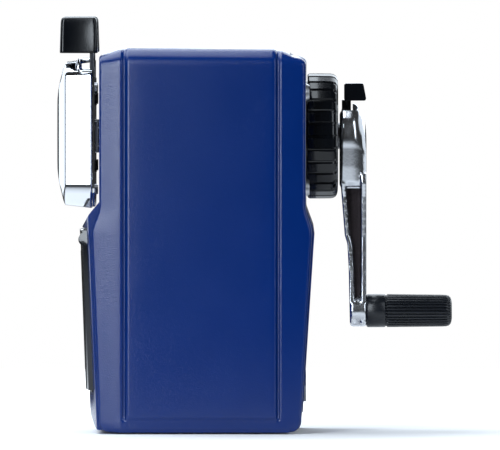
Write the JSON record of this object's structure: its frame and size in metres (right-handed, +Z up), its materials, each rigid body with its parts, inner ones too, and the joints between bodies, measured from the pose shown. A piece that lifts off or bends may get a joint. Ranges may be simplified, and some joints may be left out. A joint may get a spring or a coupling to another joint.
{
  "type": "pencil sharpener",
  "caption": "Hand-cranked desk pencil sharpener: painted casing, chrome spring-fed clamping face plate with squeeze levers, ribbed gear holder, crank and shavings drawer.",
  "frame": {"origin": "centre of the casing's base, on the surface it stands on", "axes": "+Z up, -Y out of the pencil side, +Y out of the crank side, X across the width"},
  "size_m": [0.066, 0.1207, 0.1269],
  "materials": {
    "blue_paint": "satin baked enamel, faint grain",
    "black_plastic": "moulded, satin",
    "gloss_black": "moulded, glossy",
    "grip_black": "moulded, semi-gloss, ribbed",
    "smoke_plastic": "moulded, glossy smoke black",
    "rubber": "matt moulded rubber",
    "chrome": "bright plated",
    "cast_zinc": "die cast, satin",
    "zinc_steel": "zinc plated",
    "black_steel": "blackened sheet steel",
    "spring_steel": "drawn wire and hardened sheet",
    "tool_steel": "ground tool steel",
    "bronze": "sintered bronze"
  },
  "bodies": {
    "root": {"casing_shell": "blue_paint", "front_frame": "blue_paint", "rear_cover": "blue_paint", "base_plate": "black_plastic", "non_slip_pad": "rubber", "base_screws": "zinc_steel", "mechanism_frame": "black_plastic", "frame_screws": "zinc_steel", "pencil_guide": "black_plastic", "clamp_socket": "zinc_steel", "spring_anchors": "zinc_steel"},
    "drawer": {"drawer_tray": "smoke_plastic"},
    "carriage": {"face_plate": "chrome", "carriage_back_plate": "chrome", "back_plate_rivets": "zinc_steel", "left_guide_rail": "black_steel", "right_guide_rail": "black_steel", "rail_rivets": "zinc_steel", "bumper_pads": "rubber", "lever_pivot_pins": "zinc_steel", "left_feed_spring": "spring_steel", "right_feed_spring": "spring_steel"},
    "left_lever": {"left_lever": "black_steel", "left_lever_cap": "gloss_black", "left_jaw": "spring_steel", "jaw_spring": "spring_steel"},
    "right_lever": {"right_lever": "black_steel", "right_lever_cap": "gloss_black", "right_jaw": "spring_steel"},
    "gear_holder": {"gear_holder": "gloss_black", "ring_gear": "zinc_steel", "bearing_bush": "bronze"},
    "crank": {"crank_arm": "chrome", "crank_screw": "zinc_steel", "drive_shaft": "zinc_steel", "cutter_carrier": "cast_zinc", "cutter_axle": "zinc_steel", "grip_pin": "zinc_steel"},
    "cutter": {"cutter": "tool_steel", "cutter_pinion": "tool_steel"},
    "grip": {"grip": "grip_black"},
    "adjuster": {"adjuster_lever": "gloss_black"},
    "point_stop": {"point_stop": "zinc_steel"}
  },
  "joints": [
    {"name": "plate_pull", "type": "slide", "parent": "root", "child": "carriage", "axis": [0, -1, 0], "range_m": [0, 0.034], "stiffness_N_per_m": 60, "springref_m": -0.03, "deforming": ["left_feed_spring", "right_feed_spring"]},
    {"name": "left_squeeze", "type": "hinge", "parent": "carriage", "child": "left_lever", "pos_m": [-0.014, -0.0344, 0.105], "axis": [0, 1, 0], "range_deg": [0, 12], "stiffness_Nm_per_rad": 0.05, "springref_deg": -17.19, "deforming": ["jaw_spring"]},
    {"name": "right_squeeze", "type": "hinge", "parent": "carriage", "child": "right_lever", "pos_m": [0.014, -0.0344, 0.105], "axis": [0, -1, 0], "range_deg": [0, 12]},
    {"name": "drawer_slide", "type": "slide", "parent": "root", "child": "drawer", "axis": [0, -1, 0], "range_m": [0, 0.065]},
    {"name": "holder_twist", "type": "hinge", "parent": "root", "child": "gear_holder", "pos_m": [0, 0.035, 0.0904], "axis": [0, 1, 0], "range_deg": [0, 20]},
    {"name": "crank_turn", "type": "hinge", "parent": "gear_holder", "child": "crank", "pos_m": [0, 0.035, 0.0904], "axis": [0, 1, 0], "continuous": true},
    {"name": "cutter_spin", "type": "hinge", "parent": "crank", "child": "cutter", "pos_m": [0, 0.0146, 0.0958], "axis": [0, 0.9816, -0.1908], "continuous": true},
    {"name": "grip_spin", "type": "hinge", "parent": "crank", "child": "grip", "pos_m": [0, 0.06, 0.0369], "axis": [0, 1, 0], "continuous": true},
    {"name": "adjuster_swing", "type": "hinge", "parent": "crank", "child": "adjuster", "pos_m": [0, 0.0433, 0.0904], "axis": [0, 1, 0], "range_deg": [-20, 20]},
    {"name": "stop_slide", "type": "slide", "parent": "crank", "child": "point_stop", "axis": [0, 1, 0], "range_m": [-0.0005, 0.0005]}
  ],
  "couplings": [
    {"joint": "right_squeeze", "follows": "left_squeeze", "ratio": 1},
    {"joint": "cutter_spin", "follows": "crank_turn", "ratio": -2},
    {"joint": "stop_slide", "follows": "adjuster_swing", "m_per_rad": 0.0014}
  ]
}
